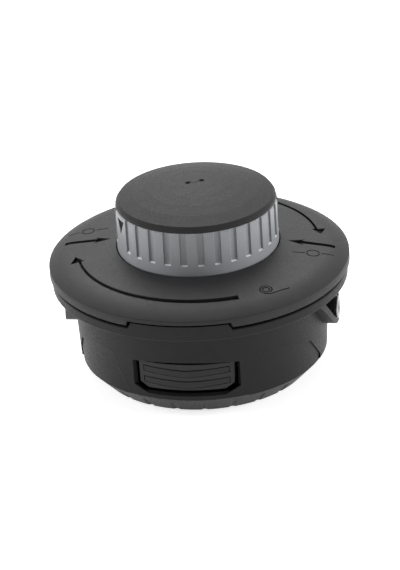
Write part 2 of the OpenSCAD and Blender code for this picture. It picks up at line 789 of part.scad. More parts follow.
module collar_blank() {
    r = collar_d / 2;
    in_r = collar_in_d / 2;
    rotate_extrude() polygon(concat(
        [[in_r, collar_top_z], [in_r, neck_top_z + collar_web_t],
         [collar_web_in_d / 2, neck_top_z + collar_web_t],
         [collar_web_in_d / 2, neck_top_z], [in_r, neck_top_z], [in_r, collar_low_z]],
        arc(r - collar_round, collar_low_z + collar_round, collar_round, -90, 0),
        [[r, collar_top_z - collar_top_bevel], [r - collar_top_bevel, collar_top_z]]));
}

// Flute that ends on a ledge, which falls outwards
module flute_cut() {
    foot_z = collar_low_z + flute_ledge_h;
    fall = ledge_rise / flute_depth;
    translate([0, -flute_w / 2, 0]) rotate([90, 0, 0]) mirror([0, 0, 1]) linear_extrude(flute_w)
        translate([collar_d / 2 - flute_depth, foot_z]) polygon([[0, ledge_rise],
            [flute_depth + overrun, -fall * overrun], [flute_depth + overrun, collar_top_z - foot_z + overrun],
            [0, collar_top_z - foot_z + overrun]]);
}

// Filled triangle that points down at the cover's arrows
module mark_cut() {
    top_z = collar_top_z - mark_drop;
    translate([collar_d / 2 - mark_depth, 0, 0]) rotate([90, 0, 90]) linear_extrude(mark_depth + overrun)
        polygon([[-mark_w / 2, top_z], [0, top_z - mark_h], [mark_w / 2, top_z]]);
}

module collar() {
    color(collar_color) difference() {
        collar_blank();
        for (i = [0:flutes - 1]) rotate(channel_angle + i * 360 / flutes) {
            if (i % (flutes / 2) == 0) mark_cut();
            else rotate(flute_lead) flute_cut();
        }
        for (i = [0:screws - 1]) rotate(i * 360 / screws) translate([screw_pcd / 2, 0, neck_top_z - overrun])
            cylinder(d = screw_d + 2 * screw_fit, h = collar_web_t + 2 * overrun);
    }
}

module knob_screws() {
    head_z = neck_top_z + collar_web_t;
    color(steel_color) for (i = [0:screws - 1]) rotate(i * 360 / screws) translate([screw_pcd / 2, 0, 0])
        difference() {
            union() {
                translate([0, 0, neck_top_z - screw_l + screw_fit])
                    cylinder(d = screw_d, h = screw_l + collar_web_t - screw_fit);
                translate([0, 0, head_z]) cylinder(d = screw_head_d, h = screw_head_h);
            }
            translate([0, 0, head_z + screw_head_h - screw_recess_depth])
                cylinder(d = screw_recess_d / cos(30), h = screw_head_h, $fn = 6);
        }
}

module wear_cap() {
    r = cap_d / 2;
    rim_top = collar_top_z + cap_rim_h;
    crown_r = (pow(r, 2) + pow(cap_crown_h, 2)) / 2 / cap_crown_h;
    crown_c = rim_top + cap_crown_h - crown_r;
    half = asin((r - cap_edge_round) / crown_r);
    dome = arc(0, crown_c, crown_r, 90 - half, 90);
    inside = arc(0, crown_c, crown_r - cap_t, 90, 90 - asin((r - cap_edge_t) / (crown_r - cap_t)));
    plug_r = collar_in_d / 2 - cap_plug_fit;
    color(cover_color) difference() {
        rotate_extrude() polygon(concat(
            [[plug_r, collar_top_z], [r, collar_top_z], [r, rim_top - cap_edge_round]], dome, inside,
            [[plug_r - cap_plug_t, collar_top_z], [plug_r - cap_plug_t, collar_top_z - cap_plug_h],
             [plug_r, collar_top_z - cap_plug_h]]));
        for (side = [-1, 1]) rotate(drain_angle) translate([side * drain_spread / 2, 0, collar_top_z])
            cylinder(d = drain_d, h = cap_crown_h + cap_rim_h + overrun, $fn = small_fn);
    }
}

housing();
drive_nut();
nut_clip();
eyelet_right();
eyelet_left();
spring_seat();
feed_spring();
thrust_washer();
spool();
cover();
tab_front();
tab_rear();
collar();
knob_screws();
wear_cap();
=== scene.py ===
"""Looks of the bump feed trimmer head, in metres: finishes, a thread, and sunk and painted marks."""

import math

import bmesh
import bpy
from mathutils import Matrix, Vector
from mathutils.bvhtree import BVHTree
from mathutils.geometry import barycentric_transform


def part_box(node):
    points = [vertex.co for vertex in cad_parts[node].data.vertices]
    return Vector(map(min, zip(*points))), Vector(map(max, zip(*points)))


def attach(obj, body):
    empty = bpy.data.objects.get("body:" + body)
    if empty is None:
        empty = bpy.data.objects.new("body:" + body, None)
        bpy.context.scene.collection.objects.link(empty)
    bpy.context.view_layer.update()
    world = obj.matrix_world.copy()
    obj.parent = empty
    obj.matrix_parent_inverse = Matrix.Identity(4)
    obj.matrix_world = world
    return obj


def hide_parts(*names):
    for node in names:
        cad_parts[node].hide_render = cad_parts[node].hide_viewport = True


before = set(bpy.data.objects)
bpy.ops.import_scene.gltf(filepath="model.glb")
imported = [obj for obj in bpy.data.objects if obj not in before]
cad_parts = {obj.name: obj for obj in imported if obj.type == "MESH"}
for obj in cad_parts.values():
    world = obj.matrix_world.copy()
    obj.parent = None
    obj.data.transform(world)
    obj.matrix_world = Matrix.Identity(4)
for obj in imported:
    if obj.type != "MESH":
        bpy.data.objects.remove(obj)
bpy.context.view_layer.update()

MM = 0.001

# Camera, fitted to the photograph's rims and edges
IMAGE_W = 400
IMAGE_H = 570
SENSOR_MM = 36
FOCAL_PX = 3758
CAMERA_DISTANCE = 1.575
CAMERA_AZIMUTH = 9.6
CAMERA_ELEVATION = 25.5
CAMERA_ROLL = -3.5
TARGET = Vector((0, 0, 50.4 * MM))
TARGET_PX = (199.1, 254.1)
CLIP = (0.05, 20)

# Colours, linear
HOUSING_COLOR = (0.009, 0.009, 0.010)
COVER_COLOR = (0.024, 0.024, 0.0255)
TAB_COLOR = (0.022, 0.022, 0.023)
SPOOL_COLOR = (0.045, 0.045, 0.046)
COLLAR_COLOR = (0.310, 0.317, 0.332)
LEDGE_HIGHLIGHT_COLOR = (0.80, 0.81, 0.83)
CAP_COLOR = (0.0225, 0.022, 0.022)
# Black of the collar's painted marks, and of the painted shade round the drain holes
MARK_AND_SHADE_COLOR = (0.006, 0.006, 0.006)
# Near-black of the painted shade in the seam
SEAM_SHADE_COLOR = (0.002, 0.002, 0.002)
EYELET_COLOR = (0.40, 0.40, 0.41)
ZINC_COLOR = (0.60, 0.61, 0.63)
SPRING_COLOR = (0.42, 0.42, 0.43)
FLOOR_COLOR = (0.75, 0.75, 0.75)
WHITE = (1, 1, 1, 1)

# Floor: half its side in metres, and the strength of its glow
FLOOR_HALF = 3.0
FLOOR_GLOW = 0.68

# World strength in front of the object and behind it, and where it changes, for matt and for glossy rays
WORLD_LIGHT = (0.30, 0.42)
WORLD_LIGHT_SPAN = (-1, 1)
WORLD_SEEN = (0.40, 1.0)
WORLD_SEEN_SPAN = (-1, 0.2)

# Lamps: place, size, power, and whether gloss mirrors them
LAMPS = {
    "key_soft": ((-0.15, 0.64, 0.94), 0.9, 9, True),
    "left_soft": ((-1.0, -0.15, 0.45), 0.7, 7.5, False),
    "right_soft": ((1.0, 0.05, 0.40), 0.6, 7.5, False),
}

# Noises of the finishes: cells per metre, detail and roughness
FLOW_NOISE = (55, 5, 0.6)
HIGHLIGHT_BREAKUP_NOISE = (420, 4, 0.5)
PORE_NOISE = (1300, 2, 0.5)
COARSE_NOISE = (1900, 2, 0.6)
FINE_NOISE = (5200, 1, 0.5)
TINT_NOISE = (300, 4, 0.5)
POLISH_NOISE = (900, 3, 0.5)
PITTING_NOISE = (2500, 2, 0.5)

# Spans that the finishes are mapped from and to, and the depths of their grain
NOISE_SPAN = (0.3, 0.7)
SPECKLE_SPAN = (0.8, 1.2)
# Paler edges are a painted highlight: the noise span that breaks it up, its share of white, and how much of
# the own colour it fades
HIGHLIGHT_BREAKUP_SPAN = (0.2, 1.0)
EDGE_HIGHLIGHT_WHITE = 0.11
EDGE_HIGHLIGHT_FADE = 0.25
POLISH_SWING = 0.75
METAL_POLISH_SWING = (-0.06, 0.10)
COARSE_SHARE = 3.2
FINE_SHARE = 1.5
METAL_GRAIN = 0.01 * MM
METAL_ROUNDING = 0.15 * MM
EDGE_DOTS = (0.75, 0.995)
BEVEL_SAMPLES = 6

# Sizes of the drive nut and its left-hand thread
NUT_AF = 17 * MM
NUT_MINOR_R = 4.325 * MM
NUT_MAJOR_R = 5.0 * MM
NUT_PITCH = 1.25 * MM
NUT_LEAD_IN = 0.9 * MM
NUT_CORNER_SHARE = 0.95
NUT_CORNER_SLOPE = math.tan(math.radians(60))
NUT_CORNER_SHARES = (0, 0.35, 0.7, 1, 2)
NUT_STEPS = 144
NUT_SHARP = math.radians(25)
THREAD_ROWS_PER_TURN = 12
FLANK_TOP = 1.45
FLANK_SLOPE = 4

# Arrows and pictograms sunk into the cover, in millimetres and degrees
ARROW_DEPTH = 1.05
ARC_TAIL_R = 52.9
ARC_END_R = 50.6
ARC_HEAD_R = 51.7
ARC_TAIL = -64
ARC_END = -160
ARC_BARB = -159.8
ARC_TIP = -166
ARC_TAIL_HALF_W = 1.5
ARC_END_HALF_W = 0.55
ARC_HEAD_HALF_W = 3.0
ARC_STEPS = 48
RADIAL_TAIL = 57.2
RADIAL_END = 43.2
RADIAL_BARB = 44.6
RADIAL_TIP = 37.4
RADIAL_HALF_W = 1.15
RADIAL_HEAD_HALF_W = 2.8
RADIAL_STEPS = 10
LEFT_ARROW_Y = 1.9
RIGHT_ARROW_Y = 2.3
SIGN_DEPTH = 0.35
SIGN_HALF_W = 0.27
LEFT_SIGN = (-49.0, 12.4, 8)
RIGHT_SIGN = (49.0, -6.6, 188)
EYELET_SIGN_R = 2.6
EYELET_SIGN_STEPS = 16
EYELET_SIGN_OPENING = 8
LINE_SIGN_L = 5.0
LINE_SIGN_STEPS = 5
SIGN_GAP = 0.9
COIL_ANGLE = -50
COIL_R = 52.6
COIL_TURNS = 2
COIL_STEPS_PER_TURN = 20
COIL_IN_R = 0.9
COIL_OUT_R = 3.2
COIL_TAIL = 9.0
COIL_TAIL_STEPS = 6

# Cut of the cover: height of the cutter over the crown, and what counts as the source's own face
CUTTER_LIFT = 1.0
WELD = 0.001 * MM
KEPT_GAP = 5 * WELD
KEPT_DOT = 0.999
COVER_SHARP = math.radians(28)

# Height from which rays look down on the pieces, and the sunk share of a skin's thickness
RAY_TOP = 0.1
SKIN_SINK = 1 / 3

# Painted highlights on the sloped ledges at the feet of the collar's flutes
FLUTES = 30
FLUTE_FIRST = 28.7
FLUTE_HALF_W = 1.38
LEDGE_OUT_R = 33.88
LEDGE_IN_R = 33.1
LEDGE_OUT_Z = 60.9
LEDGE_IN_Z = 61.3
LEDGE_T = 0.03

# Painted shade round the wear cap's drain holes that widens them, and a painted shade curve between them in
# place of a sunk one
DRAIN_SPREAD = 3.0
DRAIN_ANGLE = 25
DRAIN_R = 0.74
DRAIN_RIM_R = 1.2
DRAIN_STEPS = 12
DRAIN_LIFT = 0.01
CURVE_SAG = 0.9
CURVE_HALF_W = 0.2
CURVE_STEPS = 4

# Painted shade on the flange in the seam under the cover's edge
SEAM_IN_R = 59.5
SEAM_OUT_R = 61.8
SEAM_STEPS = 360
SEAM_JUMP = 0.05
SEAM_LIFT = 0.02

# Painted triangles on the collar
MARK_ANGLES = (30, 210)
MARK_R = 33.4
MARK_TOP = 73.75
MARK_TIP = 67.4
MARK_HALF_W = 3.4
PAINT_T = 0.06


def new_material(name):
    material = bpy.data.materials.new(name)
    material.use_nodes = True
    tree = material.node_tree
    tree.nodes.clear()
    out = tree.nodes.new("ShaderNodeOutputMaterial")
    return material, tree, out


def noise(tree, scale, detail, rough):
    coords = tree.nodes.new("ShaderNodeTexCoord")
    node = tree.nodes.new("ShaderNodeTexNoise")
    node.inputs["Scale"].default_value = scale
    node.inputs["Detail"].default_value = detail
    node.inputs["Roughness"].default_value = rough
    tree.links.new(coords.outputs["Object"], node.inputs["Vector"])
    return node.outputs["Fac"]


def ranged(tree, value, low, high, from_low=NOISE_SPAN[0], from_high=NOISE_SPAN[1]):
    """Value mapped to low and high from the span that it has, which is a noise's where none is given."""
    node = tree.nodes.new("ShaderNodeMapRange")
    node.inputs["From Min"].default_value = from_low
    node.inputs["From Max"].default_value = from_high
    node.inputs["To Min"].default_value = low
    node.inputs["To Max"].default_value = high
    tree.links.new(value, node.inputs["Value"])
    return node.outputs["Result"]


def mixed(tree, factor, a, b):
    """Colour between a and b, each a colour or a socket."""
    node = tree.nodes.new("ShaderNodeMix")
    node.data_type = "RGBA"
    tree.links.new(factor, node.inputs["Factor"])
    for key, value in (("A", a), ("B", b)):
        sock = [s for s in node.inputs if s.name == key and s.type == "RGBA"][0]
        if isinstance(value, bpy.types.NodeSocket):
            tree.links.new(value, sock)
        else:
            sock.default_value = (*value, 1)
    return [s for s in node.outputs if s.type == "RGBA"][0]


def bump(tree, height, distance, normal, strength):
    node = tree.nodes.new("ShaderNodeBump")
    node.inputs["Strength"].default_value = strength
    node.inputs["Distance"].default_value = distance
    tree.links.new(height, node.inputs["Height"])
    tree.links.new(normal, node.inputs["Normal"])
    return node.outputs["Normal"]


def rounded_normal(tree, radius):
    node = tree.nodes.new("ShaderNodeBevel")
    node.samples = BEVEL_SAMPLES
    node.inputs["Radius"].default_value = radius
    return node.outputs["Normal"]


def edge_mask(tree, normal):
    """Near 1 where the rounded normal leaves the true one, that is along edges."""
    geometry = tree.nodes.new("ShaderNodeNewGeometry")
    dot = tree.nodes.new("ShaderNodeVectorMath")
    dot.operation = "DOT_PRODUCT"
    tree.links.new(normal, dot.inputs[0])
    tree.links.new(geometry.outputs["Normal"], dot.inputs[1])
    return ranged(tree, dot.outputs["Value"], 1.0, 0.0, *EDGE_DOTS)


def plastic(name, color, rough, edge_highlight=0.2, grain=0.012, specular=0.3, mottle=0.12, rounding=0.2):
    """Moulded plastic with a fine spark-eroded grain, mottled shades, and edges lifted paler as a painted
    highlight that noise breaks up.
    """
    material, tree, out = new_material(name)
    shader = tree.nodes.new("ShaderNodeBsdfPrincipled")
    shader.inputs["Specular IOR Level"].default_value = specular
    rounded = rounded_normal(tree, rounding * MM)
    edges = edge_mask(tree, rounded)
    highlight_breakup = noise(tree, *HIGHLIGHT_BREAKUP_NOISE)
    # Edges lifted towards a paler colour: a painted highlight, broken up by noise
    edge_highlight_mask = tree.nodes.new("ShaderNodeMath")
    edge_highlight_mask.operation = "MULTIPLY"
    tree.links.new(edges, edge_highlight_mask.inputs[0])
    tree.links.new(ranged(tree, highlight_breakup, *HIGHLIGHT_BREAKUP_SPAN), edge_highlight_mask.inputs[1])
    dark = tuple((1 - mottle) * c for c in color)
    light = tuple((1 + mottle) * c for c in color)
    pale = tuple(c + edge_highlight * (EDGE_HIGHLIGHT_WHITE - EDGE_HIGHLIGHT_FADE * c) for c in color)
    speckle = tree.nodes.new("ShaderNodeMath")
    speckle.operation = "ADD"
    tree.links.new(noise(tree, *FLOW_NOISE), speckle.inputs[0])
    pores = noise(tree, *PORE_NOISE)
    tree.links.new(pores, speckle.inputs[1])
    flow = mixed(tree, ranged(tree, speckle.outputs[0], 0, 1, *SPECKLE_SPAN), dark, light)
    tree.links.new(mixed(tree, edge_highlight_mask.outputs[0], flow, pale), shader.inputs["Base Color"])
    polish = ranged(tree, pores, rough - POLISH_SWING * mottle, rough + POLISH_SWING * mottle)
    tree.links.new(polish, shader.inputs["Roughness"])
    coarse = bump(tree, noise(tree, *COARSE_NOISE), grain * MM * COARSE_SHARE, rounded, strength=0.6)
    fine = bump(tree, noise(tree, *FINE_NOISE), grain * MM * FINE_SHARE, coarse, strength=0.5)
    tree.links.new(fine, shader.inputs["Normal"])
    tree.links.new(shader.outputs[0], out.inputs["Surface"])
    return material


def metal(name, color, rough, ring_scale=0, ring_axis="X", tint=0.12):
    """Metal with shade and polish that vary, and turned rings round an axis where ring_scale isn't 0."""
    material, tree, out = new_material(name)
    shader = tree.nodes.new("ShaderNodeBsdfPrincipled")
    shader.inputs["Metallic"].default_value = 1.0
    dark = tuple((1 - tint) * c for c in color)
    shade = mixed(tree, ranged(tree, noise(tree, *TINT_NOISE), 0, 1), dark, color)
    tree.links.new(shade, shader.inputs["Base Color"])
    polish = ranged(tree, noise(tree, *POLISH_NOISE), *(rough + swing for swing in METAL_POLISH_SWING))
    tree.links.new(polish, shader.inputs["Roughness"])
    rounded = rounded_normal(tree, METAL_ROUNDING)
    normal = bump(tree, noise(tree, *PITTING_NOISE), METAL_GRAIN, rounded, strength=0.5)
    if ring_scale:
        coords = tree.nodes.new("ShaderNodeTexCoord")
        rings = tree.nodes.new("ShaderNodeTexWave")
        rings.wave_type = "RINGS"
        rings.rings_direction = ring_axis
        rings.inputs["Scale"].default_value = ring_scale
        rings.inputs["Distortion"].default_value = 0.6
        tree.links.new(coords.outputs["Object"], rings.inputs["Vector"])
        normal = bump(tree, rings.outputs["Fac"], METAL_GRAIN, normal, strength=0.4)
    tree.links.new(normal, shader.inputs["Normal"])
    tree.links.new(shader.outputs[0], out.inputs["Surface"])
    return material


def seen_by_eye_or_gloss(tree):
    """1 on camera, glossy and transmission rays."""
    path = tree.nodes.new("ShaderNodeLightPath")
    value = path.outputs["Is Camera Ray"]
    for name in ("Is Glossy Ray", "Is Transmission Ray"):
        node = tree.nodes.new("ShaderNodeMath")
        node.operation = "MAXIMUM"
        tree.links.new(value, node.inputs[0])
        tree.links.new(path.outputs[name], node.inputs[1])
        value = node.outputs[0]
    return value


def floor_material():
    """Pale floor that reads white in the open and keeps the object's shadow."""
    material, tree, out = new_material("floor_white")
    diffuse = tree.nodes.new("ShaderNodeBsdfDiffuse")
    diffuse.inputs["Color"].default_value = (*FLOOR_COLOR, 1)
    glow = tree.nodes.new("ShaderNodeEmission")
    glow.inputs["Color"].default_value = WHITE
    strength = ranged(tree, seen_by_eye_or_gloss(tree), 0, FLOOR_GLOW, 0, 1)
    tree.links.new(strength, glow.inputs["Strength"])
    both = tree.nodes.new("ShaderNodeAddShader")
    tree.links.new(diffuse.outputs[0], both.inputs[0])
    tree.links.new(glow.outputs[0], both.inputs[1])
    tree.links.new(both.outputs[0], out.inputs["Surface"])
    return material


def blend_value(tree, factor, a, b):
    """Number between a and b, each a number or a socket."""
    node = tree.nodes.new("ShaderNodeMix")
    node.data_type = "FLOAT"
    tree.links.new(factor, node.inputs[0])
    for sock, value in ((node.inputs[2], a), (node.inputs[3], b)):
        if isinstance(value, bpy.types.NodeSocket):
            tree.links.new(value, sock)
        else:
            sock.default_value = value
    return node.outputs[0]


def make_world():
    """Studio that is white behind the object, above it and beside it, and dimmer in front."""
    world = bpy.data.worlds.new("studio")
    bpy.context.scene.world = world
    world.use_nodes = True
    tree = world.node_tree
    tree.nodes.clear()
    out = tree.nodes.new("ShaderNodeOutputWorld")
    back = tree.nodes.new("ShaderNodeBackground")
    back.inputs["Color"].default_value = WHITE
    coords = tree.nodes.new("ShaderNodeTexCoord")
    axes = tree.nodes.new("ShaderNodeSeparateXYZ")
    path = tree.nodes.new("ShaderNodeLightPath")
    tree.links.new(coords.outputs["Generated"], axes.inputs[0])
    lit = ranged(tree, axes.outputs["Y"], *WORLD_LIGHT, *WORLD_LIGHT_SPAN)
    seen = ranged(tree, axes.outputs["Y"], *WORLD_SEEN, *WORLD_SEEN_SPAN)
    first = blend_value(tree, seen_by_eye_or_gloss(tree), lit, seen)
    strength = blend_value(tree, path.outputs["Is Camera Ray"], first, 1.0)
    tree.links.new(strength, back.inputs["Strength"])
    tree.links.new(back.outputs[0], out.inputs["Surface"])


def add_lamp(name, place, size, power, mirrored):
    lamp = bpy.data.lights.new(name, "AREA")
    lamp.shape = "DISK"
    lamp.size = size
    lamp.energy = power
    obj = bpy.data.objects.new(name, lamp)
    obj.location = place
    obj.rotation_euler = (TARGET - Vector(place)).to_track_quat("-Z", "Y").to_euler()
    obj.visible_glossy = mirrored
    bpy.context.scene.collection.objects.link(obj)


def make_stage():
    mesh = bpy.data.meshes.new("floor")
    corners = [(x * FLOOR_HALF, y * FLOOR_HALF, 0) for x, y in ((-1, -1), (1, -1), (1, 1), (-1, 1))]
    mesh.from_pydata(corners, [], [(0, 1, 2, 3)])
    mesh.materials.append(floor_material())
    floor = bpy.data.objects.new("floor", mesh)
    bpy.context.scene.collection.objects.link(floor)
    make_world()
    for name, (place, size, power, mirrored) in LAMPS.items():
        add_lamp(name, place, size, power, mirrored)


def make_camera():
    azimuth = math.radians(CAMERA_AZIMUTH)
    elevation = math.radians(CAMERA_ELEVATION)
    back = Vector((math.sin(azimuth) * math.cos(elevation), -math.cos(azimuth) * math.cos(elevation),
                   math.sin(elevation)))
    data = bpy.data.cameras.new("camera")
    data.lens = FOCAL_PX * SENSOR_MM / IMAGE_H
    data.sensor_width = SENSOR_MM
    data.shift_x = (IMAGE_W / 2 - TARGET_PX[0]) / IMAGE_H
    data.shift_y = (TARGET_PX[1] - IMAGE_H / 2) / IMAGE_H
    data.clip_start, data.clip_end = CLIP
    camera = bpy.data.objects.new("camera", data)
    turn = (-back).to_track_quat("-Z", "Y").to_matrix() @ Matrix.Rotation(math.radians(CAMERA_ROLL), 3, "Z")
    camera.matrix_world = Matrix.Translation(TARGET + CAMERA_DISTANCE * back) @ turn.to_4x4()
    bpy.context.scene.collection.objects.link(camera)
    bpy.context.scene.camera = camera


def ring_mesh(name, rows):
    """Mesh from rows of points round an axis, each row closed on itself and the last joined to the first."""
    count = len(rows[0])
    points = [p for row in rows for p in row]
    faces = []
    for i in range(len(rows)):
        a = i * count
        b = (i + 1) % len(rows) * count
        for j in range(count):
            k = (j + 1) % count
            faces.append((a + j, a + k, b + k, b + j))
    mesh = bpy.data.meshes.new(name)
    mesh.from_pydata(points, [], faces)
    mesh.validate()
    return mesh


def piece(name, mesh, material, body, replaced=()):
    mesh.materials.append(material)
    obj = bpy.data.objects.new(name, mesh)
    bpy.context.scene.collection.objects.link(obj)
    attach(obj, body)
    if replaced:
        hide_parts(*replaced)
    return obj


def thread_radius(angle, z, low, high):
    """Inner radius of the nut at an angle and height, with a lead-in at both faces."""
    phase = (z / NUT_PITCH + angle / math.tau) % 1
    flank = min(1.0, max(0.0, FLANK_TOP - abs(phase - 0.5) * FLANK_SLOPE))
    radius = NUT_MINOR_R + (NUT_MAJOR_R - NUT_MINOR_R) * flank
    end = min(z - low, high - z)
    return max(radius, NUT_MINOR_R + NUT_LEAD_IN - end)


def hex_radius(angle, z, low, high):
    """Outer radius of the nut at an angle and height, its corners turned off at both faces."""
    sixth = math.tau / 6
    flat = NUT_AF / 2 / math.cos(angle % sixth - sixth / 2)
    end = min(z - low, high - z)
    return min(flat, NUT_AF / 2 * NUT_CORNER_SHARE + end * NUT_CORNER_SLOPE)


def make_nut(material):
    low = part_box("drive_nut")[0].z
    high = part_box("drive_nut")[1].z
    turns = round((high - low) / NUT_PITCH)
    rows_in = turns * THREAD_ROWS_PER_TURN
    heights_in = [low + (high - low) * i / rows_in for i in range(rows_in + 1)]
    corner = NUT_AF / 2 * (1 / math.cos(math.tau / 12) - NUT_CORNER_SHARE) / NUT_CORNER_SLOPE
    steps = [corner * share for share in NUT_CORNER_SHARES]
    heights_out = [high - s for s in steps] + [low + s for s in reversed(steps)]
    angles = [math.tau * j / NUT_STEPS for j in range(NUT_STEPS)]
    rows = []
    for radius, heights in ((thread_radius, heights_in), (hex_radius, heights_out)):
        for z in heights:
            rows.append([(radius(a, z, low, high) * math.cos(a), radius(a, z, low, high) * math.sin(a), z)
                         for a in angles])
    mesh = ring_mesh("threaded_nut", rows)
    mesh.set_sharp_from_angle(angle=NUT_SHARP)
    piece("threaded_nut", mesh, material, "head", ["drive_nut"])


def search_tree(mesh):
    return BVHTree.FromPolygons([v.co for v in mesh.vertices], [tuple(p.vertices) for p in mesh.polygons])


def top_finder(mesh):
    """Function that gives the height of a mesh's upper face over a point."""
    tree = search_tree(mesh)

    def height(x, y):
        return tree.ray_cast(Vector((x, y, RAY_TOP)), Vector((0, 0, -1)))[0].z

    return height


def strip(path, half_widths):
    """Outline and faces of a band along a path; the outline goes up its left side and back down its right."""
    left, right = [], []
    for i, (x, y) in enumerate(path):
        ax, ay = path[max(i - 1, 0)]
        bx, by = path[min(i + 1, len(path) - 1)]
        run = math.hypot(bx - ax, by - ay)
        nx, ny = (ay - by) / run, (bx - ax) / run
        left.append((x + nx * half_widths[i], y + ny * half_widths[i]))
        right.append((x - nx * half_widths[i], y - ny * half_widths[i]))
    outline = left + right[::-1]
    last = len(outline) - 1
    return outline, [(i, i + 1, last - i - 1, last - i) for i in range(len(path) - 1)]


def arrow(path, half_widths, left_barb, tip, right_barb):
    """Outline and faces of a band along a path with a head of three corners at its end."""
    outline = strip(path, half_widths)[0]
    n = len(path)
    outline[n:n] = [left_barb, tip, right_barb]
    last = len(outline) - 1
    faces = [(i, i + 1, last - i - 1, last - i) for i in range(n - 1)]
    return outline, faces + [(n - 1, n, n + 1), (n - 1, n + 1, n + 3), (n + 3, n + 1, n + 2)]


def on_circle(r, angle):
    return r * math.cos(math.radians(angle)), r * math.sin(math.radians(angle))


def half_turned(shape):
    return [(-x, -y) for x, y in shape[0]], shape[1]


def placed(points, x, y, angle):
    c, s = math.cos(math.radians(angle)), math.sin(math.radians(angle))
    return [(x + c * u - s * v, y + s * u + c * v) for u, v in points]


def arc_arrow():
    shares = [i / ARC_STEPS for i in range(ARC_STEPS + 1)]
    path = [on_circle(ARC_TAIL_R + (ARC_END_R - ARC_TAIL_R) * t, ARC_TAIL + (ARC_END - ARC_TAIL) * t)
            for t in shares]
    widths = [ARC_TAIL_HALF_W + (ARC_END_HALF_W - ARC_TAIL_HALF_W) * t for t in shares]
    barbs = [on_circle(ARC_HEAD_R + side * ARC_HEAD_HALF_W, ARC_BARB) for side in (1, -1)]
    return arrow(path, widths, barbs[0], on_circle(ARC_HEAD_R, ARC_TIP), barbs[1])


def radial_arrow(side, y):
    path = [(side * (RADIAL_TAIL + (RADIAL_END - RADIAL_TAIL) * i / RADIAL_STEPS), y)
            for i in range(RADIAL_STEPS + 1)]
    barbs = [(side * RADIAL_BARB, y - side * turn * RADIAL_HEAD_HALF_W) for turn in (1, -1)]
    return arrow(path, [RADIAL_HALF_W] * len(path), barbs[0], (side * RADIAL_TIP, y), barbs[1])


def eyelet_sign(x, y, angle):
    """A ring with a piece of line on each side of it."""
    shapes = []
    spread = 180 - 2 * EYELET_SIGN_OPENING
    for side in (0, 180):
        ring = [on_circle(EYELET_SIGN_R, side + EYELET_SIGN_OPENING + spread * i / EYELET_SIGN_STEPS)
                for i in range(EYELET_SIGN_STEPS + 1)]
        line = [(EYELET_SIGN_R + SIGN_GAP + LINE_SIGN_L * i / LINE_SIGN_STEPS, 0)
                for i in range(LINE_SIGN_STEPS + 1)]
        if side:
            line = [(-u, v) for u, v in line]
        for path in (ring, line):
            shapes.append(strip(placed(path, x, y, angle), [SIGN_HALF_W] * len(path)))
    return shapes


def coil_sign():
    """A spiral of line with its tail along the cover's edge."""
    steps = COIL_TURNS * COIL_STEPS_PER_TURN
    turn = COIL_TURNS * 360
    path = []
    for i in range(steps + 1):
        t = i / steps
        path.append(on_circle(COIL_IN_R + (COIL_OUT_R - COIL_IN_R) * t, -turn * (1 - t) - 90))
    path += [(COIL_TAIL * (i + 1) / COIL_TAIL_STEPS, -COIL_OUT_R) for i in range(COIL_TAIL_STEPS)]
    x, y = on_circle(COIL_R, COIL_ANGLE)
    return strip(placed(path, x, y, COIL_ANGLE + 90), [SIGN_HALF_W] * len(path))


def cutter_mesh(groups, height):
    """Prisms over the outlines, from a depth under the crown to above it."""
    points, faces = [], []
    for shapes, depth in groups:
        for outline, tops in shapes:
            base = len(points)
            n = len(outline)
            for lift in (-depth, CUTTER_LIFT):
                points += [(x * MM, y * MM, height(x * MM, y * MM) + lift * MM) for x, y in outline]
            faces += [tuple(base + n + i for i in face) for face in tops]
            faces += [tuple(base + i for i in reversed(face)) for face in tops]
            faces += [(base + (i + 1) % n, base + i, base + n + i, base + n + (i + 1) % n) for i in range(n)]
    mesh = bpy.data.meshes.new("cutter")
    mesh.from_pydata(points, [], faces)
    mesh.validate()
    return mesh


def welded(mesh):
    """Copy of a mesh whose faces share their corners."""
    work = bmesh.new()
    work.from_mesh(mesh)
    bmesh.ops.remove_doubles(work, verts=work.verts, dist=WELD)
    copy = bpy.data.meshes.new("welded")
    work.to_mesh(copy)
    work.free()
    return copy


def keep_normals(mesh, source):
    """Shade a cut mesh as its source where the source's faces are left, and flat in the cuts."""
    source.set_sharp_from_angle(angle=COVER_SHARP)
    tree = search_tree(source)
    corner_normals = source.corner_normals
    normals = []
    for face in mesh.polygons:
        normal, index, gap = tree.find_nearest(face.center)[1:]
        if gap > KEPT_GAP or normal.dot(face.normal) < KEPT_DOT:
            normals += [face.normal.copy()] * face.loop_total
            continue
        old = source.polygons[index]
        corners = [source.vertices[v].co for v in old.vertices]
        tips = [corner_normals[i].vector for i in old.loop_indices]
        for v in face.vertices:
            normals.append(barycentric_transform(mesh.vertices[v].co, *corners, *tips).normalized())
    mesh.shade_smooth()
    mesh.normals_split_custom_set(normals)


def make_engraved_cover(material):
    """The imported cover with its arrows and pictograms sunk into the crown."""
    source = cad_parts["cover"].data
    height = top_finder(source)
    arrows = [arc_arrow(), half_turned(arc_arrow())]
    arrows += [radial_arrow(-1, LEFT_ARROW_Y), radial_arrow(1, RIGHT_ARROW_Y)]
    signs = eyelet_sign(*LEFT_SIGN) + eyelet_sign(*RIGHT_SIGN) + [coil_sign(), half_turned(coil_sign())]
    groups = [(arrows, ARROW_DEPTH), (signs, SIGN_DEPTH)]
    cutter = bpy.data.objects.new("cutter", cutter_mesh(groups, height))
    whole = welded(source)
    blank = bpy.data.objects.new("blank", whole)
    for obj in (cutter, blank):
        bpy.context.scene.collection.objects.link(obj)
    cut = blank.modifiers.new("cut", "BOOLEAN")
    cut.operation = "DIFFERENCE"
    cut.solver = "EXACT"
    cut.object = cutter
    bpy.context.view_layer.update()
    graph = bpy.context.evaluated_depsgraph_get()
    mesh = bpy.data.meshes.new_from_object(blank.evaluated_get(graph))
    for obj in (cutter, blank):
        bpy.data.objects.remove(obj)
    mesh.materials.clear()
    keep_normals(mesh, whole)
    piece("engraved_cover", mesh, material, "head", ["cover"])


